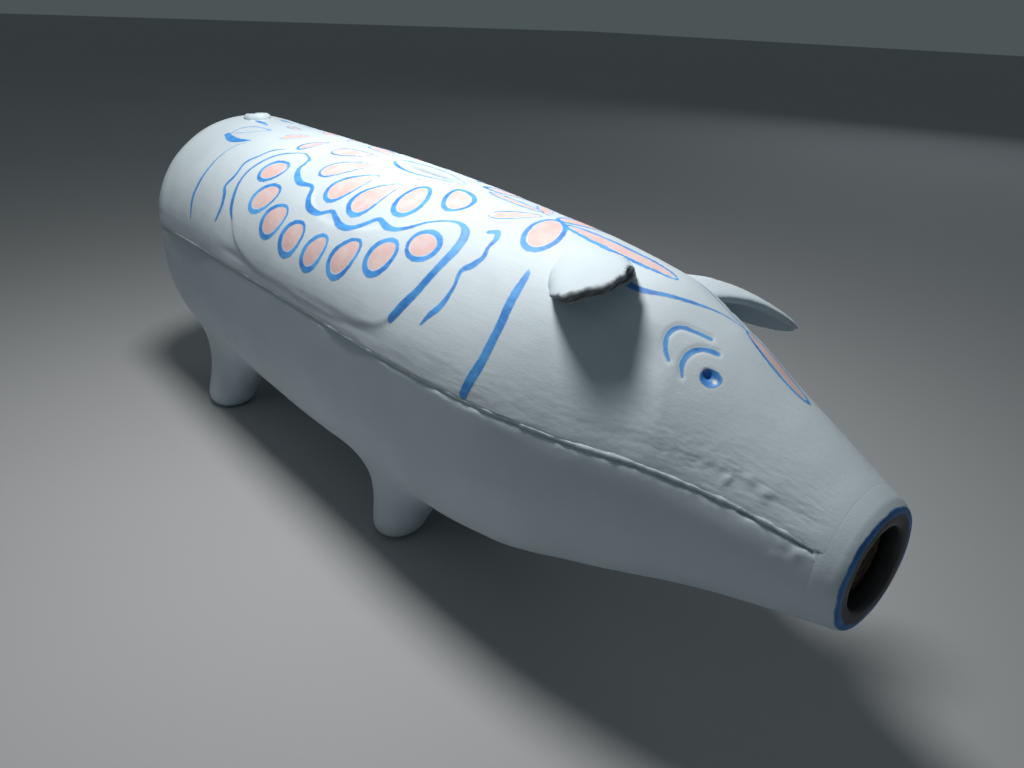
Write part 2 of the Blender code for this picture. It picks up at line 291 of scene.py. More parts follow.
# ---- painted shapes --------------------------------------------------------------------
# A stroke is a row of (x, s, width). These are painted on both sides of the body.
SIDE_STROKES = (
    # outer wavy line behind the saddle cloth
    ((119, -20.5, 0.7), (110.5, -25, 1.3), (106, -31, 1.6), (101, -37.5, 1.9), (102, -45, 2.2),
     (99, -52, 2.2), (102.5, -56, 2.8), (105, -62, 2.6), (103, -69, 1.6)),
    # rear edge of the cloth
    ((146, -23, 1.0), (136, -20, 1.3), (128.5, -21.5, 1.6), (119.5, -26.5, 2.2),
     (114, -33, 2.6), (110.5, -41, 2.6), (110.5, -48, 2.9), (112.5, -54, 3.6),
     (115.5, -60, 3.4), (120.5, -64.5, 1.4)),
    # scalloped inner edge of the cloth and its front edge down to the seam
    ((135, -20, 1.2), (143, -22, 1.4), (146, -26, 1.8), (146.5, -29.5, 2.4), (151, -33.5, 3.2),
     (158.5, -36, 3.2), (167, -35.2, 2.2), (170, -37, 2.2), (173, -41, 2.8),
     (178, -44.3, 3.4), (186, -45, 2.8), (190, -43, 2.0), (194, -41.5, 2.2), (198, -43, 2.8),
     (204, -45, 3.2), (210.5, -44.6, 3.0), (216, -41.5, 2.4), (222, -36, 2.0), (225.5, -36, 2.6),
     (230, -37, 3.0), (235, -36.2, 2.2), (240.5, -33, 1.8), (246, -27.6, 1.5),
     (252, -24, 1.4), (258, -22.3, 1.9), (263, -23.6, 3.0), (266, -27, 3.6), (267, -32, 3.6),
     (266.5, -38, 3.2), (265, -45, 3.0), (263, -52, 3.2), (260, -58, 3.6), (256.5, -64.5, 3.0)),
    # wavy line ahead of the cloth
    ((272, -20, 2.0), (275, -18.6, 2.4), (277.5, -21.5, 2.4), (278, -26, 1.7),
     (279.5, -29.5, 2.2), (278, -34, 3.0), (275.5, -37.5, 2.0), (277, -43, 1.7),
     (277, -48, 2.2), (276, -52, 2.6), (274, -55, 2.4), (271.5, -60, 1.2)),
    # neck band
    ((299, -26, 1.0), (300, -29, 2.8), (301, -37, 3.6), (302.5, -47, 3.4), (302, -58, 3.6),
     (300, -66, 3.8), (298.5, -71.5, 3.6)),
    # long line over the rump
    ((84, -25, 0.6), (77, -30, 0.9), (73.5, -38, 1.1), (72, -48.5, 1.9), (71, -56, 2.2),
     (70.2, -63.5, 2.5), (71, -69, 2.2), (72.6, -75, 1.2)),
    # strokes beside the tail
    ((55, -26, 3.2), (63, -27.5, 4.4), (72, -27, 3.6), (82, -24, 1.0)),
    ((57, -24, 1.2), (56.5, -18, 1.3), (61, -13.5, 1.1), (69, -11.5, 1.0), (78.5, -11, 1.4)),
    ((60, -23, 1.0), (67, -19.5, 0.8), (75, -14.5, 0.9), (79, -11, 1.2)),
    ((52, -7, 2.4), (58, -6.5, 2.8), (67, -7.5, 1.0)),
    # small dashes at the petals' points
    ((190, -9.8, 0.6), (193, -9.6, 0.6)), ((200, -12.3, 0.6), (203.5, -12, 0.6)),
    ((212.5, -10.4, 0.6), (216, -9.8, 0.5)), ((225.5, -6.2, 0.6), (229, -5.4, 0.5)),
    # near and far lips of the slot's leaf
    ((183, -1.2, 0.8), (188, -4.2, 1.8), (195, -6.2, 1.7), (204, -6.9, 1.3), (213, -6, 1.1),
     (223, -3.4, 1.0), (233, -0.4, 0.7)),
)

# The two brows: painted strokes that also lie in shallow grooves.
BROWS = (
    ((353.6, -22, 1.3), (351.3, -20.6, 1.6), (349.6, -18, 1.6), (349.6, -15.2, 1.5),
     (351, -12.5, 1.4), (354.4, -10.5, 1.3), (358.8, -8.5, 1.3)),
    ((358.8, -22.4, 1.0), (357.2, -20.2, 1.6), (356.8, -17.3, 1.7), (357.8, -14.3, 1.6),
     (359.6, -12, 1.5), (362.8, -10.1, 1.6)),
)
BROW_GROOVE_WIDTH = 1.6
BROW_GROOVE_DEPTH = 0.28

# Lines from both ears that meet behind the nose's leaf. Each is painted once.
NOSE_LINES = (
    ((327.5, -11.8, 2.0), (331, -12.8, 2.4), (336, -11.7, 2.0), (341, -8.8, 1.5),
     (347, -5.2, 1.3), (353, -1.1, 1.0), (357.3, 2.5, 0.9), (361.5, 5.6, 0.8)),
    ((328, 13, 1.8), (334, 12.5, 1.6), (342, 9.6, 1.2), (350, 7.2, 0.9), (356, 5.8, 0.8),
     (361.5, 5.6, 0.8)),
)

# A leaf is a closed outline with its brush line: centre x and s, half length, half width,
# heading in degrees from +x towards +s, how pointed its leading end is (0 to 1), line width
# and how far the filling sits towards the leading end.
LEAVES = (
    (130, -35.5, 10.3, 7.0, 22, 0.10, 2.0, 0.3),
    (140.5, -49, 11.4, 7.6, 30, 0.10, 2.2, 0.6),
    (157.5, -56, 10.6, 7.8, 40, 0.15, 2.2, 0.7),
    (177, -59, 9.9, 8.0, 44, 0.10, 2.5, 0.9),
    (197, -59.5, 10.0, 6.9, 54, 0.12, 2.3, 0.6),
    (217.5, -55.3, 10.8, 7.2, 55, 0.18, 2.2, 0.6),
    (237.3, -47.8, 9.2, 7.2, 60, 0.05, 2.4, 0.5),
    (253.2, -36.3, 8.4, 7.0, 12, 0.05, 2.2, -0.4),
    (159.5, -7.2, 14.8, 4.6, 14, 0.55, 1.0, 0.0),
    (172.2, -19.3, 13.6, 5.8, 35, 0.45, 1.1, 0.3),
    (188.6, -27.2, 13.0, 7.0, 54, 0.50, 1.6, 0.6),
    (207.7, -28, 12.6, 7.4, 66, 0.50, 1.7, 0.9),
    (227.2, -21.6, 10.4, 7.6, 112, 0.20, 2.2, 0.2),
    (243.4, -11.4, 9.8, 6.6, 146, 0.30, 2.0, -0.3),
    (271.2, -7.2, 10.0, 3.2, 37, 0.30, 0.8, 0.0),
    (289.6, -9.8, 11.0, 7.6, 118, 0.12, 2.0, 0.5),
    (104.5, -9, 9.5, 3.6, 35, 0.40, 0.7, 0.0),
    (126.5, -11.5, 8.0, 4.0, 62, 0.45, 1.3, 0.3),
)
CREST_LEAVES = (
    (260, 2.3, 16.0, 2.7, 0, 0.1, 1.1, 0.4),
    (315, -1.2, 25.0, 3.9, 0, 0.05, 1.7, 0.5),
    (373.3, 4.7, 12.2, 4.0, -4, 0.08, 1.3, -0.3),
    (83, 0, 8.0, 2.2, 0, 0.3, 0.9, 0.0),
)
EYE = (365.2, -16.6)
EYE_RADIUS = 3.1
EYE_GLINT = (1.0, 0.5, 0.8)        # painted highlight, a dot left unpainted: x and s from the centre, and radius
EYE_PIT = (-1.1, 0.1, 1.5)         # deep dot: x and s from the centre, and depth
EYE_DISH_DEPTH = 0.8

# Trough behind the cheek: x at its top, distance of the top from the crest, slant and depth.
CHEEK_X = 346
CHEEK_TOP = 24
CHEEK_SLANT = 0.25
CHEEK_DEPTH = 1.9

# Outline of the saddle cloth, which stands a little proud of the body.
CLOTH = ((146, -24), (136, -20), (119.5, -26.5), (110.5, -41), (112.5, -54), (121, -65),
         (128.5, -73), (139, -77.5), (153, -80), (176, -79.5), (195, -80), (220, -78),
         (240, -73), (257, -64), (266.5, -38), (266, -27), (258, -22.3), (246, -27.6),
         (230, -37), (210, -44.6), (186, -45), (168, -36), (151, -33.5))
CLOTH_RISE = 0.42

OUTSIDE = -6.0      # paint field where no paint is near


def near(x, s, points, margin):
    low = points[:, :2].min(axis=0) - margin
    high = points[:, :2].max(axis=0) + margin
    return np.nonzero((x > low[0]) & (x < high[0]) & (s > low[1]) & (s < high[1]))[0]


def stroke_field(field, x, s, points):
    """Raises the field to the distance inside a brush stroke."""
    line = curve(points)
    pick = near(x, s, line, 5.0)
    gap = np.hypot(x[pick, None] - line[:, 0], s[pick, None] - line[:, 1])
    field[pick] = np.maximum(field[pick], (line[:, 2] / 2 - gap).max(axis=1))


def outline_field(x, s, line, margin=6.0):
    """Distance inside a closed outline, and which points it was worked out for."""
    pick = near(x, s, line, margin)
    px, ps = x[pick, None], s[pick, None]
    ahead = np.roll(line, -1, axis=0)
    crosses = (line[:, 1] > ps) != (ahead[:, 1] > ps)
    span = np.where(ahead[:, 1] == line[:, 1], 1e-9, ahead[:, 1] - line[:, 1])
    left = px < line[:, 0] + (ps - line[:, 1]) / span * (ahead[:, 0] - line[:, 0])
    inside = (crosses & left).sum(axis=1) % 2 == 1
    gap = np.hypot(px - line[:, 0], ps - line[:, 1]).min(axis=1)
    return pick, np.where(inside, gap, -gap)


def leaf_outline(leaf, shrink=0.0, shift=0.0):
    x, s, length, width, heading, point = leaf[:6]
    t = np.linspace(0, 2 * pi, 90, endpoint=False)
    lengthwise = (length - shrink) * np.cos(t) + shift
    across = (width - shrink) * np.sin(t) * (1 - point * np.cos(t))
    turn = radians(heading)
    return np.stack([x + lengthwise * cos(turn) - across * sin(turn),
                     s + lengthwise * sin(turn) + across * cos(turn)], axis=1)


def paint_leaf(blue, pink, x, s, leaf):
    line_width, shift = leaf[6:]
    pick, outer = outline_field(x, s, leaf_outline(leaf))
    full = np.full(len(x), OUTSIDE)
    inner_pick, inner = outline_field(x, s, leaf_outline(leaf, line_width, shift))
    full[inner_pick] = inner
    blue[pick] = np.maximum(blue[pick], np.minimum(outer, -full[pick]))
    pink[inner_pick] = np.maximum(pink[inner_pick], inner - 0.25)


def eye_radius(x, s):
    """Distance from the eye's centre, stretched so that the eye is an oval lying aslant."""
    dx, ds = x - EYE[0], s - EYE[1]
    return np.hypot((dx + ds) / 1.57, (dx - ds) / 1.10)


def paint_fields(x, s):
    """Blue and pink fields in mm: positive inside the paint, for flat arrays of x and s."""
    blue = np.full(len(x), OUTSIDE)
    pink = np.full(len(x), OUTSIDE)
    mirrored = -np.abs(s)
    for leaf in LEAVES:
        paint_leaf(blue, pink, x, mirrored, leaf)
    for leaf in CREST_LEAVES:
        paint_leaf(blue, pink, x, s, leaf)
    for stroke in SIDE_STROKES + BROWS:
        stroke_field(blue, x, mirrored, stroke)
    for stroke in NOSE_LINES:
        stroke_field(blue, x, s, stroke)
    # the eye's blue leaves out a small white dot, a painted highlight
    glint = np.hypot(x - EYE[0] - EYE_GLINT[0], mirrored - EYE[1] - EYE_GLINT[1])
    painted = np.minimum(EYE_RADIUS - eye_radius(x, mirrored), glint - EYE_GLINT[2])
    blue = np.maximum(blue, painted)
    return blue, pink


def flank_table():
    """Table of the distance round the flank from the crest, by x and section angle."""
    xs = np.linspace(0.5, LENGTH, 300)
    angles = np.linspace(0, pi, 400)
    points = body(xs[:, None], angles[None])
    step = np.linalg.norm(np.diff(points, axis=1), axis=-1)
    return xs, angles, np.concatenate([np.zeros((len(xs), 1)), step.cumsum(axis=1)], axis=1)


def flank_distance(points):
    """Signed distance round the flank from the crest to each point of the upper half."""
    x, y, z = points.T
    centre, width, rise, _, crest, _ = section(np.clip(x, 0.5, LENGTH))
    up = np.clip((z - centre) / rise, 0, None) ** (crest / 2)
    out = (np.abs(y) / width) ** (crest / 2)
    angle = np.arctan2(out, up)
    xs, angles, table = flank_table()
    i = np.clip((x - xs[0]) / (xs[1] - xs[0]), 0, len(xs) - 1.001)
    j = np.clip((angle - angles[0]) / (angles[1] - angles[0]), 0, len(angles) - 1.001)
    a, b = i.astype(int), j.astype(int)
    u, v = i - a, j - b
    s = ((1 - u) * ((1 - v) * table[a, b] + v * table[a, b + 1])
         + u * ((1 - v) * table[a + 1, b] + v * table[a + 1, b + 1]))
    return s * np.where(y < 0, -1, 1)


def set_attribute(obj, name, values):
    layer = obj.data.attributes.new(name, "FLOAT", "POINT")
    layer.data.foreach_set("value", np.asarray(values, np.float32))


# ---- upper half ------------------------------------------------------------------------
def upper_relief(points, s, edge):
    """Height of hand work over the plain upper half; edge is the distance above the seam."""
    x = points[..., 0]
    side = -np.abs(s)
    flat_x, flat_s = x.ravel(), side.ravel()
    out = 0.30 * ripple(points, 0.028) + 0.10 * ripple(points, 0.11, 7.0)
    cloth = np.full(x.size, OUTSIDE)
    pick, inside = outline_field(flat_x, flat_s, curve(CLOTH, 1.0, closed=True))
    cloth[pick] = inside
    out += CLOTH_RISE * smooth(-1.6, 1.6, cloth.reshape(x.shape))
    for brow in BROWS:
        groove = np.full(x.size, OUTSIDE)
        stroke_field(groove, flat_x, flat_s, [(px, ps, BROW_GROOVE_WIDTH) for px, ps, _ in brow])
        out -= BROW_GROOVE_DEPTH * smooth(-1.0, 0.8, groove.reshape(x.shape))
    out -= EYE_DISH_DEPTH * (1 - smooth(0.8, 3.4, eye_radius(x, side)))
    pit = np.hypot(x - EYE[0] - EYE_PIT[0], side - EYE[1] - EYE_PIT[1])
    out -= EYE_PIT[2] * (1 - smooth(0.3, 1.5, pit))
    # trough behind the cheek, from the ear down to the seam
    behind = x - CHEEK_X - CHEEK_SLANT * (-side - CHEEK_TOP)
    hollow = smooth(-24, -2, behind) * (1 - smooth(-1, 11, behind)) * smooth(16, 27, -side)
    out -= CHEEK_DEPTH * hollow * (0.25 + 0.75 * smooth(0, 16, edge))
    # hand work along the seam: chips, a furrow, lengthwise wrinkles and a few lumps
    chip = ripple(points, (0.08, 0.35, 0.35), 3.0)
    bead = np.exp(-((edge - 0.8) / 1.4) ** 2)
    out += bead * 0.22 * np.clip(chip + 0.1, 0, 1) * (1 - smooth(396, 407, x))
    furrow = np.exp(-((edge - 6.0) / 2.0) ** 2) * smooth(-0.1, 0.35, ripple(points, 0.02, 11.0))
    out -= 0.3 * furrow
    fine = ripple(points, (0.035, 1.1, 1.1), 21.0) + 0.5 * ripple(points, (0.09, 2.0, 2.0), 23.0)
    rough = np.exp(-((edge - 7) / 7) ** 2) * smooth(235, 300, x)
    rough += 0.35 * smooth(320, 350, x) * np.exp(-((edge - 16) / 16) ** 2)
    out += 0.085 * fine * rough
    lumps = np.clip(ripple(points, 0.26, 27.0) - 0.05, 0, 1)
    out += 0.9 * lumps * np.exp(-((edge - 6) / 4) ** 2) * np.exp(-((x - 384) / 9) ** 2)
    return out * (1 - smooth(402, 408.5, x))


def build_upper():
    x = np.concatenate([REAR_DOME * (1 - np.cos(np.linspace(0.07, pi / 2, 34)[:-1])),
                        np.linspace(REAR_DOME, 344, 330)[:-1], np.linspace(344, 386, 85)[:-1],
                        np.linspace(386, BODY_END, 30)])
    half = 104
    edge = angle_at(x, along(SEAM_LINE, x) + SEAM_GAP)
    angle = edge[:, None] * np.linspace(-1, 1, 2 * half + 1)[None]
    plain = body(x[:, None], angle)
    step = np.linalg.norm(np.diff(plain, axis=1), axis=-1)
    s = np.concatenate([np.zeros((len(x), 1)), step.cumsum(axis=1)], axis=1)
    s = s - s[:, half:half + 1]
    above = s[:, -1:] - np.abs(s)
    outer = plain + grid_normals(plain) * upper_relief(plain, s, above)[..., None]
    outer[:, [0, -1], 2] = plain[:, [0, -1], 2] + 0.5 * ripple(plain[:, [0, -1]], 0.12, 5.0)
    xi = np.concatenate([WALL + 29 * (1 - np.cos(np.linspace(0.1, pi / 2, 12)[:-1])),
                         np.linspace(REAR_DOME, BODY_END, 90)])
    inner_edge = angle_at(xi, along(SEAM_LINE, xi) + SEAM_GAP)
    inner = body(xi[:, None], inner_edge[:, None] * np.linspace(-1, 1, 61)[None], WALL)
    shell = shell_mesh("upper_half", outer, inner)
    outline = []
    for i in range(40):
        t = 2 * pi * i / 40
        across = abs(sin(t)) ** 0.8 * (1 if sin(t) >= 0 else -1)
        outline.append((SLOT_X + SLOT_LENGTH / 2 * cos(t), SLOT_WIDTH / 2 * across))
    prism = [(px, py, pz) for pz in (140, 160) for px, py in outline]
    faces = grid_faces(2, 40, around=True) + [tuple(range(40)), tuple(range(40, 80))]
    cut(shell, make_mesh("slot_tool", prism, faces))
    shade(shell)
    points = vertices(shell)
    blue, pink = paint_fields(points[:, 0], flank_distance(points))
    centre, width, rise, _, crest, _ = section(np.clip(points[:, 0], 6, LENGTH), WALL)
    depth = (np.abs(points[:, 1]) / width) ** crest + (np.clip(points[:, 2] - centre, 0, None)
                                                       / rise) ** crest
    hidden = depth < 1.03
    blue[hidden] = OUTSIDE
    pink[hidden] = OUTSIDE
    set_attribute(shell, "blue", blue)
    set_attribute(shell, "pink", pink)
    return shell


# ---- lower half ------------------------------------------------------------------------
def leg_mesh(foot, side):
    x, y = foot
    rows = curve([(h, r) for h, r in LEG_PROFILE], 2.0)
    points = []
    for height, radius in rows:
        inward = LEG_LEAN * max(height - LEG_LEAN_FROM, 0.0)
        for j in range(40):
            turn = 2 * pi * j / 40
            points.append((x + radius * cos(turn), side * (y - inward) + radius * sin(turn),
                           max(height, 0)))
    count = len(rows)
    faces = grid_faces(count, 40, around=True)
    faces += [tuple(range(40)), tuple(range((count - 1) * 40, count * 40))]
    return make_mesh("leg", points, faces)


def relax(points, edges, weight, rounds):
    """Weighted Laplacian smoothing."""
    a, b = edges.T
    count = np.bincount(np.concatenate([a, b]), minlength=len(points))[:, None]
    for _ in range(rounds):
        total = np.stack([np.bincount(a, points[b, k], len(points))
                          + np.bincount(b, points[a, k], len(points)) for k in range(3)], axis=1)
        points = points + (total / np.maximum(count, 1) - points) * weight[:, None]
    return points


def build_lower():
    x = np.concatenate([REAR_DOME * (1 - np.cos(np.linspace(0.07, pi / 2, 24)[:-1])),
                        np.linspace(REAR_DOME, BODY_END, 260)])
    edge = angle_at(x, along(SEAM_LINE, x) - SEAM_GAP)
    sweep = edge[:, None] + (2 * pi - 2 * edge)[:, None] * np.linspace(0, 1, 141)[None]
    outer = body(x[:, None], sweep)
    xi = np.concatenate([WALL + 29 * (1 - np.cos(np.linspace(0.1, pi / 2, 12)[:-1])),
                         np.linspace(REAR_DOME, BODY_END, 90)])
    inner_edge = angle_at(xi, along(SEAM_LINE, xi) - SEAM_GAP)
    sweep = inner_edge[:, None] + (2 * pi - 2 * inner_edge)[:, None] * np.linspace(0, 1, 61)
    inner = body(xi[:, None], sweep, WALL)
    shell = shell_mesh("lower_half", outer, inner)
    bowl = make_mesh("bowl", *closed_bowl(inner))
    legs = [leg_mesh(foot, side) for foot in LEGS for side in (-1, 1)]
    for leg in legs:
        tool = bowl.copy()
        bpy.context.scene.collection.objects.link(tool)
        cut(leg, tool)
    bpy.data.objects.remove(bowl, do_unlink=True)
    join(shell, legs)
    mod = shell.modifiers.new("skin", "REMESH")
    mod.mode = "VOXEL"
    mod.voxel_size = 1.15 * MM
    apply_modifiers(shell)
    shade(shell)
    points = vertices(shell)
    edges = np.empty(len(shell.data.edges) * 2, int)
    shell.data.edges.foreach_get("vertices", edges)
    edges = edges.reshape(-1, 2)
    centre, width, _, drop, _, belly = section(np.clip(points[:, 0], 0.5, LENGTH))
    below = np.clip(centre - points[:, 2], 0, None)
    ratio = ((np.abs(points[:, 1]) / width) ** belly + (below / drop) ** belly) ** (1 / belly)
    radius = np.hypot(points[:, 1], below)
    out = radius - radius / np.maximum(ratio, 1e-6)
    weight = np.full(len(points), 0.0)
    for fx, fy in LEGS:
        lean = fy - LEG_LEAN * np.clip(points[:, 2] - LEG_LEAN_FROM, 0, None)
        axis = np.hypot(points[:, 0] - fx, np.abs(points[:, 1]) - lean)
        leg_out = np.abs(axis - along(LEG_PROFILE, points[:, 2]))
        band = 1 - smooth(11.0, 32.0, np.abs(out) + leg_out)
        weight = np.maximum(weight, np.where(out > -2.5, band, 0))
    keep = 1 - smooth(BODY_END - 6, BODY_END - 3, points[:, 0])
    points = relax(points, edges, weight * 0.7, 320)
    points = relax(points, edges, 0.35 * keep, 4)
    set_vertices(shell, points)
    normals = np.empty(len(points) * 3)
    shell.data.vertices.foreach_get("normal", normals)
    normals = normals.reshape(-1, 3)
    lift = 0.28 * ripple(points, 0.03, 31.0) + 0.12 * ripple(points, 0.12, 37.0)
    seam = along(SEAM_LINE, points[:, 0])
    rim = np.exp(-((seam - points[:, 2] - 1.5) / 1.6) ** 2)
    lift += rim * 0.14 * ripple(points, (0.12, 0.4, 0.4), 41.0)
    flake = smooth(394, 400, points[:, 0]) * (1 - smooth(402, 407, points[:, 0]))
    flake *= smooth(20, 4, seam - points[:, 2])
    lift += flake * 0.6 * np.clip(ripple(points, 0.35, 43.0), 0, 1)
    lift *= smooth(0.5, 4.0, points[:, 2])
    set_vertices(shell, points + normals * lift[:, None])
    return shell


def closed_bowl(inner):
    """Points and faces of the solid that fills the cavity of the lower half."""
    rows, columns = inner.shape[:2]
    points = inner.reshape(-1, 3).tolist()
    faces = grid_faces(rows, columns, around=True)
    faces += [tuple(range(columns)), tuple(range((rows - 1) * columns, rows * columns))]
    return points, faces


def join(target, others):
    work = bmesh.new()
    work.from_mesh(target.data)
    for other in others:
        work.from_mesh(other.data)
        bpy.data.objects.remove(other, do_unlink=True)
    work.to_mesh(target.data)
    work.free()


# ---- seam, snout, cork -----------------------------------------------------------------
def tube(name, path, radii, sides=12, flatten=1.0, ragged=0.0):
    """Closed tube of varying radius along a path; flatten squeezes it upwards."""
    path = np.asarray(path, float)
    ahead = np.gradient(path, axis=0)
    ahead /= np.linalg.norm(ahead, axis=1, keepdims=True)
    across = np.cross(ahead, (0, 0, 1))
    across /= np.maximum(np.linalg.norm(across, axis=1, keepdims=True), 1e-9)
    up = np.cross(across, ahead)
    turn = 2 * pi * np.arange(sides) / sides
    ring = (across[:, None] * np.cos(turn)[None, :, None]
            + up[:, None] * np.sin(turn)[None, :, None] * flatten)
    points = path[:, None] + ring * np.asarray(radii)[:, None, None]
    if ragged:
        points = points + ring * (ripple(points, 0.35, 51.0) * ragged)[..., None]
    count = len(path)
    faces = grid_faces(count, sides, around=True)
    faces += [tuple(range(sides)), tuple(range((count - 1) * sides, count * sides))]
    return make_mesh(name, points.reshape(-1, 3), faces)


def build_slip():
    """Ragged bead of joining slip that squeezed out between the two halves."""
    x = np.concatenate([REAR_DOME * (1 - np.cos(np.linspace(0.1, pi / 2, 60)[:-1])),
                        np.linspace(REAR_DOME, BODY_END - 2, 500)])
    flank = body(x, angle_at(x, along(SEAM_LINE, x)))
    left = flank[::-1]
    right = flank * (1, -1, 1)
    path = np.vstack([left, right])
    path[:, 1] -= np.sign(path[:, 1]) * 0.95
    path[:, 0] = np.maximum(path[:, 0], 1.4)
    grow = 1.05 + 0.35 * ripple(path, 0.09, 61.0) + 0.2 * ripple(path, 0.4, 63.0)
    return tube("seam_slip", path, np.clip(grow, 0.8, 1.15), 10, 0.9, 0.12)


def build_disc():
    """Ring that closes the muzzle: its side carries on the taper of the two halves.

    A thin sleeve at its rear sinks into the halves, so that no gap shows between them.
    """
    centre = CENTRE_Z[-1][1]
    face = HALF_WIDTH[-1][1]
    bore = BORE
    sides = 160
    turn = 2 * pi * np.arange(sides) / sides
    rows = []
    for x in (BODY_END - 3, BODY_END - 2, BODY_END - 1, BODY_END, BODY_END + 1.5,
              BODY_END + 3.0, LENGTH - 1.8):
        rows.append(body(np.full(sides, x), turn))
    round_edge = ((LENGTH - 0.9, face - 0.1), (LENGTH - 0.35, face - 0.45),
                  (LENGTH - 0.05, face - 1.2), (LENGTH, face - 2.4), (LENGTH, face - 4),
                  (LENGTH - 0.1, bore + 1.0), (LENGTH - 0.5, bore + 0.35),
                  (LENGTH - 1.3, bore), (LENGTH - 3.5, bore), (BODY_END + 0.1, bore),
                  (BODY_END + 0.1, bore + 3), (BODY_END - 3, bore + 4.5))
    for x, r in round_edge:
        rows.append(np.stack([x + 0 * turn, r * np.sin(turn), centre + r * np.cos(turn)], 1))
    points = np.array(rows)
    out = (points - (0, 0, centre)) * (0, 1, 1)
    out /= np.linalg.norm(out, axis=-1, keepdims=True)
    uneven = 0.12 * ripple(points, 0.12, 71.0) + 0.08 * ripple(points, 0.6, 73.0)
    uneven = uneven * smooth(BODY_END, BODY_END + 3, points[..., 0])
    sleeve = -0.3 + 0.34 * smooth(BODY_END - 3, BODY_END - 0.2, points[..., 0])
    sleeve[-3:] = 0
    points += out * (uneven + sleeve)[..., None]
    count = len(points)
    faces = grid_faces(count, sides, around=True)
    faces += [((count - 1) * sides + j, (count - 1) * sides + (j + 1) % sides, (j + 1) % sides, j)
              for j in range(sides)]
    return make_mesh("snout_ring", points.reshape(-1, 3), faces)


def build_cork():
    centre = CENTRE_Z[-1][1]
    front = LENGTH - CORK_RECESS
    rear = front - CORK_LENGTH
    profile = [(rear, 0.02), (rear, 5), (rear, 9.6), (rear + 0.5, 10.4), (rear + 1.2, CORK_REAR)]
    profile += [(rear + 1.2 + 19.6 * t / 10, CORK_REAR + (CORK_FRONT - CORK_REAR) * t / 10)
                for t in range(1, 11)]
    profile += [(front - 0.5, 11.8), (front - 0.1, 11.2)]
    profile += [(front, r) for r in (10.4, 9, 7.5, 6, 4.5, 3, 1.5, 0.02)]
    sides = 96
    turn = 2 * pi * np.arange(sides) / sides
    points = np.array([[(x, r * cos(t), centre + r * sin(t)) for t in turn] for x, r in profile])
    pores = np.clip(ripple(points, 0.55, 81.0) - 0.15, 0, 1)
    points[..., 0] -= np.where(points[..., 0] > front - 0.3, 0.9 * pores, 0)
    faces = grid_faces(len(profile), sides, around=True)
    faces += [tuple(range(sides)), tuple(range((len(profile) - 1) * sides,
                                               len(profile) * sides))]
    return make_mesh("cork", points.reshape(-1, 3), faces)


# ---- ears and tail ---------------------------------------------------------------------
# Points of an ear's middle surface: rows from the root to the rim, across its chord.
NEAR_EAR = (
    ((309, -23.5, 134), (304, -16, 139), (304, -8, 142.5), (317, -4.5, 142), (329, -8.5, 139)),
    ((312, -25.5, 134.5), (315, -24.5, 139.5), (320, -18.5, 144), (327.5, -13, 145),
     (331.5, -12, 142)),
    ((313.5, -27, 134), (328, -35.5, 138.5), (336.5, -29, 142.5), (337, -21.5, 144),
     (334, -15, 146.5)),
)
FAR_EAR = (
    ((339, 9, 132), (322, 8, 135.5), (317, 21, 129)),
    ((345, 30, 130), (334, 30.5, 132), (336, 42, 119)),
    ((353.5, 48.5, 120), (352, 49.5, 120.5), (351.5, 49.5, 118.5)),
)


def quadratic(a, b, c, t):
    """Curve through a, b and c at t = 0, 0.5 and 1."""
    return a * (1 - t) * (1 - 2 * t) + b * 4 * t * (1 - t) + c * t * (2 * t - 1)


def spline(stops, u):
    """Catmull-Rom curve through evenly spaced stops, for an array u from 0 to 1."""
    p = np.vstack([[2 * stops[0] - stops[1]], stops, [2 * stops[-1] - stops[-2]]])
    at = u * (len(stops) - 1)
    k = np.minimum(at.astype(int), len(stops) - 2)
    t = (at - k)[:, None]
    a, b, c, d = (p[k + shift] for shift in range(4))
    return 0.5 * (2 * b + (c - a) * t + (2 * a - 5 * b + 4 * c - d) * t ** 2
                  + (3 * b - a - 3 * c + d) * t ** 3)


def build_ear(name, control, thick_root, thick_rim, ragged, blunt):
    rows, columns = 64, 80
    t = np.linspace(0, 1, rows)[:, None, None]
    u = np.linspace(0, 1, columns)[None, :, None]
    lines = [spline(np.array(row, float), u[0, :, 0])[None] for row in control]
    middle = quadratic(*lines, t)
    normal = grid_normals(middle)
    normal *= np.sign(normal[..., 2:].mean())
    t, u = t[..., 0], u[..., 0]
    thick = thick_root + (thick_rim - thick_root) * t
    across = np.clip(1 - np.abs(2 * u - 1) ** 8, 0, 1) ** 0.5
    lengthwise = np.clip(1 - t ** blunt, 0, 1) ** 0.5
    half = thick / 2 * (0.12 + 0.88 * across * lengthwise)
    chips = ragged * smooth(0.75, 1.0, t) * (ripple(middle, 0.25, 91.0)
                                             + 0.6 * ripple(middle, 0.7, 93.0))
    outward = np.gradient(middle, axis=0)
    outward /= np.maximum(np.linalg.norm(outward, axis=-1, keepdims=True), 1e-9)
    middle = middle + outward * chips[..., None]
    wave = 0.25 * ripple(middle, 0.08, 95.0) + 0.08 * ripple(middle, 0.4, 97.0)
    over = middle + normal * (half + wave)[..., None]
    under = middle - normal * (half - wave)[..., None]
    points = np.concatenate([over, under[:, ::-1]], axis=1)
    count = points.shape[1]
    rim_line = middle[-1]
    faces = grid_faces(rows, count, around=True)
    faces += [tuple(range(count)), tuple(range((rows - 1) * count, rows * count))]
    ear = make_mesh(name, points.reshape(-1, 3), faces)
    points = vertices(ear)
    edges = np.empty(len(ear.data.edges) * 2, int)
    ear.data.edges.foreach_get("vertices", edges)
    points = relax(points, edges.reshape(-1, 2), np.full(len(points), 0.4), 3)
    set_vertices(ear, points)
    # weight of the dark grey along the rim: partly wear, partly painted shade
    away = np.linalg.norm(points[:, None] - rim_line[None, ::4], axis=-1).min(axis=1)
    set_attribute(ear, "rim_wear_and_shade", 1 - smooth(1.6, 2.6, away))
    return ear


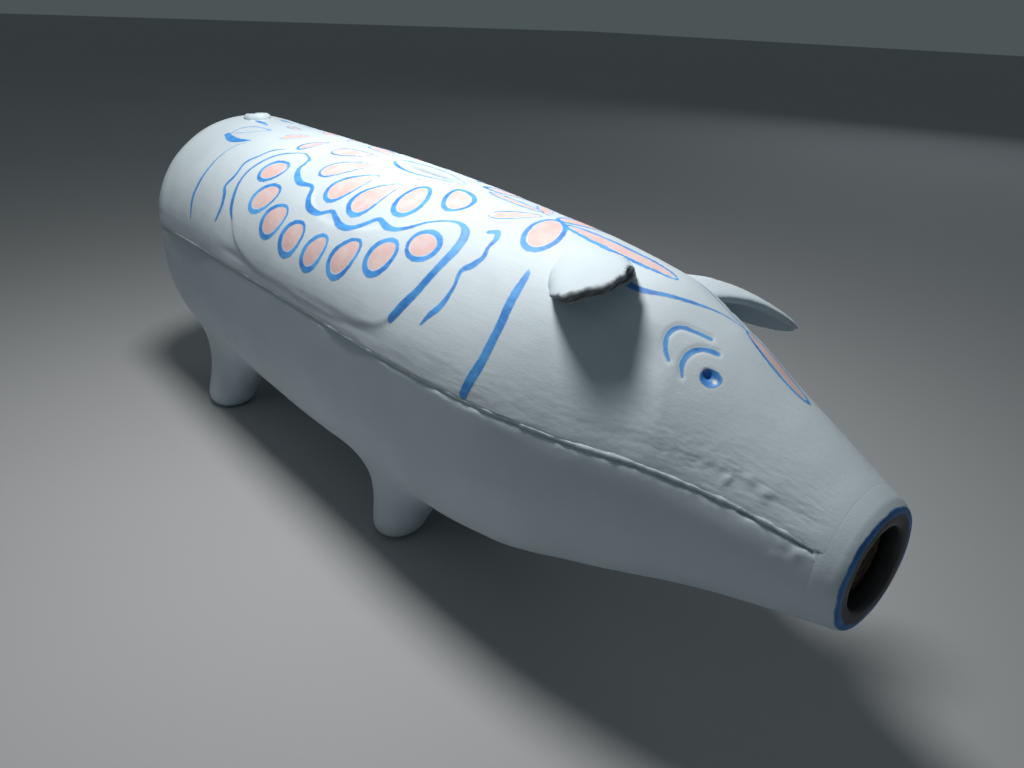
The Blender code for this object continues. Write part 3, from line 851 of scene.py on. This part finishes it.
def build_tail():
    steps = 70
    turn = np.linspace(0, 1, steps)
    angle = np.radians(150 - 330 * turn)
    radius = 5.5 * (1 - 0.35 * turn)
    x = 41.5 + 1.5 * radius * np.cos(angle)
    y = -3.0 + radius * np.sin(angle)
    z = crest_height(x, y) - 0.3 + 0.8 * np.sin(pi * turn)
    thick = 2.8 * (0.35 + 0.65 * np.sin(pi * (0.12 + 0.8 * turn)))
    return tube("curled_tail", np.stack([x, y, z], axis=1), thick, 20, 1.0, 0.12)


# ---- materials -------------------------------------------------------------------------
class Nodes:
    """Small helper for building a node tree."""

    def __init__(self, name):
        self.material = bpy.data.materials.new(name)
        self.material.use_nodes = True
        self.tree = self.material.node_tree
        self.shader = self.tree.nodes["Principled BSDF"]
        self.position = self.add("ShaderNodeNewGeometry").outputs["Position"]

    def add(self, kind, inputs=None, **settings):
        node = self.tree.nodes.new(kind)
        for key, value in settings.items():
            setattr(node, key, value)
        for key, value in (inputs or {}).items():
            self.plug(value, node.inputs[key])
        return node

    def plug(self, value, socket):
        if isinstance(value, bpy.types.NodeSocket):
            self.tree.links.new(value, socket)
        else:
            socket.default_value = value

    def noise(self, scale, detail=2.0, rough=0.5, stretch=None):
        where = self.position
        if stretch:
            where = self.add("ShaderNodeVectorMath", {0: where, 1: stretch},
                             operation="MULTIPLY").outputs["Vector"]
        return self.add("ShaderNodeTexNoise", {"Vector": where, "Scale": scale,
                                               "Detail": detail, "Roughness": rough}
                        ).outputs["Fac"]

    def maths(self, operation, a, b=0.0):
        return self.add("ShaderNodeMath", {0: a, 1: b}, operation=operation).outputs[0]

    def step(self, value, low, high, out_low=0.0, out_high=1.0):
        return self.add("ShaderNodeMapRange",
                        {"Value": value, "From Min": low, "From Max": high,
                         "To Min": out_low, "To Max": out_high},
                        interpolation_type="SMOOTHSTEP").outputs["Result"]

    def mix(self, fac, a, b):
        node = self.add("ShaderNodeMix", data_type="RGBA")
        self.plug(fac, node.inputs["Factor"])
        self.plug(a, node.inputs["A"])
        self.plug(b, node.inputs["B"])
        return node.outputs["Result"]

    def field(self, name):
        return self.add("ShaderNodeAttribute", attribute_name=name).outputs["Fac"]

    def bump(self, height, distance, strength=1.0, below=None):
        node = self.add("ShaderNodeBump", {"Height": height, "Distance": distance,
                                           "Strength": strength})
        if below is not None:
            self.tree.links.new(below, node.inputs["Normal"])
        return node.outputs["Normal"]

    def finish(self, colour, roughness, normal):
        self.plug(colour, self.shader.inputs["Base Color"])
        self.plug(roughness, self.shader.inputs["Roughness"])
        self.plug(normal, self.shader.inputs["Normal"])
        return self.material


WHITE = (0.60, 0.685, 0.74, 1)
WHITE_COOL = (0.54, 0.625, 0.675, 1)
WHITE_DUSTY = (0.46, 0.50, 0.52, 1)
# dark grey on the near ear's rim: bare clay where worn, and painted shade
BARE_CLAY_AND_SHADE = (0.17, 0.19, 0.20, 1)
BLUE_DEEP = (0.022, 0.19, 0.58, 1)
BLUE_LIGHT = (0.09, 0.38, 0.82, 1)
PINK = (0.71, 0.46, 0.44, 1)
PINK_PALE = (0.73, 0.56, 0.54, 1)


def whitewash(nodes):
    """White matt coat: soft cloudiness, faint dust and small specks."""
    cloud = nodes.noise(14.0, 4.0, 0.6)
    white = nodes.mix(nodes.step(cloud, 0.35, 0.7), WHITE, WHITE_COOL)
    dust = nodes.step(nodes.noise(60.0, 5.0, 0.7), 0.60, 0.82, 0.0, 0.35)
    white = nodes.mix(dust, white, WHITE_DUSTY)
    specks = nodes.step(nodes.noise(900.0, 1.0), 0.76, 0.82, 0.0, 0.5)
    return nodes.mix(specks, white, (0.35, 0.34, 0.32, 1))


def grain(nodes):
    """Fine plaster grain and faint lengthwise brush marks."""
    brush = nodes.noise(240.0, 3.0, 0.6, (0.12, 1.0, 1.0))
    normal = nodes.bump(brush, 0.0004, 0.22)
    return nodes.bump(nodes.noise(1500.0, 2.0), 0.00015, 0.30, normal)


def white_material(name):
    nodes = Nodes(name)
    rough = nodes.step(nodes.noise(45.0, 3.0), 0.3, 0.7, 0.50, 0.64)
    return nodes.finish(whitewash(nodes), rough, grain(nodes))


def ear_material(name):
    """White coat turned dark grey along the broken rim: partly worn away to bare clay, partly
    painted shade on the rim.
    """
    nodes = Nodes(name)
    # near the rim the coat turns dark grey: partly bare clay, partly painted shade
    wear_and_shade = nodes.maths("MULTIPLY", nodes.step(nodes.noise(260.0, 4.0, 0.6), 0.25, 0.55, 0.6, 1.0),
                       nodes.field("rim_wear_and_shade"))
    return nodes.finish(nodes.mix(wear_and_shade, whitewash(nodes), BARE_CLAY_AND_SHADE), 0.7, grain(nodes))


def painted_material(name):
    nodes = Nodes(name)
    white = whitewash(nodes)
    wobble = nodes.maths("MULTIPLY", nodes.maths("SUBTRACT", nodes.noise(420.0, 3.0), 0.5), 0.7)
    pink_edge = nodes.maths("ADD", nodes.field("pink"), wobble)
    blue_edge = nodes.maths("ADD", nodes.field("blue"), wobble)
    wash = nodes.step(nodes.noise(130.0, 4.0, 0.6), 0.35, 0.68)
    pink = nodes.mix(wash, PINK, PINK_PALE)
    pink_cover = nodes.step(nodes.noise(200.0, 4.0), 0.25, 0.55, 0.72, 0.98)
    pink_mask = nodes.maths("MULTIPLY", nodes.step(pink_edge, -0.15, 0.25), pink_cover)
    colour = nodes.mix(pink_mask, white, pink)
    load = nodes.step(nodes.noise(95.0, 3.0, 0.55), 0.36, 0.66)
    streak = nodes.step(nodes.noise(600.0, 2.0, 0.5, (0.35, 1.0, 1.0)), 0.35, 0.7, 0.0, 0.45)
    blue = nodes.mix(load, BLUE_DEEP, BLUE_LIGHT)
    blue = nodes.mix(streak, blue, BLUE_LIGHT)
    blue_cover = nodes.step(nodes.field("blue"), -0.1, 0.45, 0.70, 0.98)
    blue_mask = nodes.maths("MULTIPLY", nodes.step(blue_edge, -0.14, 0.16), blue_cover)
    colour = nodes.mix(blue_mask, colour, blue)
    rough = nodes.step(nodes.noise(45.0, 3.0), 0.3, 0.7, 0.50, 0.62)
    normal = nodes.bump(blue_mask, 0.00012, 0.6, grain(nodes))
    return nodes.finish(colour, rough, normal)


def slip_material():
    nodes = Nodes("dried_slip")
    crumb = nodes.noise(500.0, 5.0, 0.7)
    colour = nodes.mix(nodes.step(crumb, 0.35, 0.65), (0.48, 0.55, 0.59, 1), WHITE)
    normal = nodes.bump(crumb, 0.0005, 0.6)
    return nodes.finish(colour, 0.72, normal)


def snout_material():
    """White side wall and blue paint at the face's edge; inside that edge the face and the bore
    walls are near-black, partly dark paint and partly painted shade of the hollow.
    """
    nodes = Nodes("snout_paint_and_shade")
    white = whitewash(nodes)
    axis = nodes.add("ShaderNodeSeparateXYZ", {0: nodes.position}).outputs["X"]
    wobble = nodes.maths("MULTIPLY", nodes.maths("SUBTRACT", nodes.noise(160.0, 3.0), 0.5),
                         0.0014)
    front = (REAR + LENGTH) * MM
    mask = nodes.step(nodes.maths("ADD", axis, wobble), front - 0.0009, front - 0.0004)
    from_axis = nodes.add("ShaderNodeVectorMath",
                          {0: nodes.position, 1: (0, 0, -CENTRE_Z[-1][1] * MM)}).outputs["Vector"]
    flat = nodes.add("ShaderNodeVectorMath", {0: from_axis, 1: (0, 1, 1)},
                     operation="MULTIPLY").outputs["Vector"]
    radius = nodes.add("ShaderNodeVectorMath", {0: flat}, operation="LENGTH").outputs["Value"]
    load = nodes.step(nodes.noise(120.0, 4.0, 0.6), 0.35, 0.7)
    blue = nodes.mix(load, (0.025, 0.15, 0.45, 1), (0.05, 0.24, 0.62, 1))
    colour = nodes.mix(mask, white, blue)
    # near-black inside the blue edge and down the bore: partly dark paint, partly painted shade
    bore = nodes.step(nodes.maths("ADD", radius, wobble), 0.0158, 0.0166)
    colour = nodes.mix(bore, (0.024, 0.025, 0.027, 1), colour)
    rough = nodes.step(nodes.noise(70.0, 3.0), 0.3, 0.7, 0.42, 0.60)
    return nodes.finish(colour, rough, grain(nodes))


def cork_material():
    nodes = Nodes("dark_cork_and_shade")
    cells = nodes.add("ShaderNodeTexVoronoi", {"Vector": nodes.position, "Scale": 420.0})
    grainy = nodes.noise(300.0, 5.0, 0.65)
    # very dark brown: stained cork, and painted shade of the recess it sits in
    colour = nodes.mix(nodes.step(grainy, 0.35, 0.7), (0.035, 0.024, 0.015, 1),
                       (0.13, 0.085, 0.05, 1))
    pits = nodes.step(cells.outputs["Distance"], 0.15, 0.5)
    colour = nodes.mix(pits, (0.012, 0.009, 0.007, 1), colour)
    normal = nodes.bump(pits, 0.0004, 0.5, nodes.bump(grainy, 0.0003, 0.4))
    return nodes.finish(colour, 0.86, normal)


def floor_material():
    nodes = Nodes("studio_floor")
    cloud = nodes.noise(3.0, 4.0, 0.5)
    colour = nodes.mix(cloud, (0.38, 0.385, 0.395, 1), (0.42, 0.425, 0.435, 1))
    return nodes.finish(colour, 0.7, nodes.bump(nodes.noise(900.0, 2.0), 0.0002, 0.15))


def coat(obj, material):
    obj.data.materials.clear()
    obj.data.materials.append(material)


# ---- camera, light, floor --------------------------------------------------------------
def build_camera():
    data = bpy.data.cameras.new("camera")
    data.sensor_width = 36.0
    data.lens = 27.2
    data.clip_start = 0.01
    camera = bpy.data.objects.new("camera", data)
    bpy.context.scene.collection.objects.link(camera)
    look = Vector((-0.6874, 0.5864, -0.4287)).normalized()
    right = Vector((0.6345, 0.7720, 0.0388)).normalized()
    up = right.cross(look).normalized()
    right = look.cross(up)
    axes = Matrix((right, up, -look)).transposed().to_4x4()
    camera.matrix_world = Matrix.Translation((0.2689, -0.1803, 0.2101)) @ axes
    bpy.context.scene.camera = camera


def area_light(name, place, target, size, power, colour=(1, 1, 1)):
    data = bpy.data.lights.new(name, "AREA")
    data.shape = "DISK"
    data.size = size
    data.energy = power
    data.color = colour
    light = bpy.data.objects.new(name, data)
    bpy.context.scene.collection.objects.link(light)
    light.location = place
    light.rotation_euler = (Vector(target) - Vector(place)).to_track_quat("-Z", "Y").to_euler()


def build_studio():
    """One small lamp over the back, two broad weak fills, and a wide pale floor."""
    area_light("key", (-0.012, -0.040, 0.420), (-0.012, -0.038, 0.0), 0.10, 1.42,
               (1.0, 0.99, 0.975))
    area_light("soft_fill", (0.5, -1.2, 1.3), (0.0, 0.0, 0.08), 1.4, 0.8, (0.88, 0.94, 1.0))
    area_light("back_fill", (-0.4, 1.5, 0.9), (0.0, 0.0, 0.08), 1.4, 2.2, (0.88, 0.94, 1.0))
    world = bpy.data.worlds.new("studio")
    bpy.context.scene.world = world
    world.use_nodes = True
    world.node_tree.nodes["Background"].inputs["Color"].default_value = (0.072, 0.09, 0.093, 1)
    world.node_tree.nodes["Background"].inputs["Strength"].default_value = 1.0
    size = 12.0
    mesh = bpy.data.meshes.new("floor")
    mesh.from_pydata([(-size, -size, 0), (size, -size, 0), (size, size, 0), (-size, size, 0)],
                     [], [(0, 1, 2, 3)])
    floor = bpy.data.objects.new("floor", mesh)
    bpy.context.scene.collection.objects.link(floor)
    coat(floor, floor_material())
    bpy.context.scene.view_settings.view_transform = "Standard"


# ---- the whole bank --------------------------------------------------------------------
def main():
    build_camera()
    build_studio()
    painted = painted_material("painted_whitewash")
    white = white_material("whitewash")
    pieces = (
        (build_upper(), "upper_shell", "bank", painted),
        (build_lower(), "lower_shell", "bank", white),
        (build_slip(), "joint_slip", "bank", slip_material()),
        (build_disc(), "snout_disc", "bank", snout_material()),
        (build_cork(), "cork_stopper", "stopper", cork_material()),
        (build_ear("near_ear", NEAR_EAR, 4.5, 3.8, 1.4, 40), "right_ear", "bank",
         ear_material("worn_and_shaded_whitewash")),
        (build_ear("far_ear", FAR_EAR, 4.4, 2.6, 0.3, 14), "left_ear", "bank", white),
        (build_tail(), "tail", "bank", white),
    )
    for piece, node, group, material in pieces:
        coat(piece, material)
        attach(piece, group)
        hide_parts(node)


main()
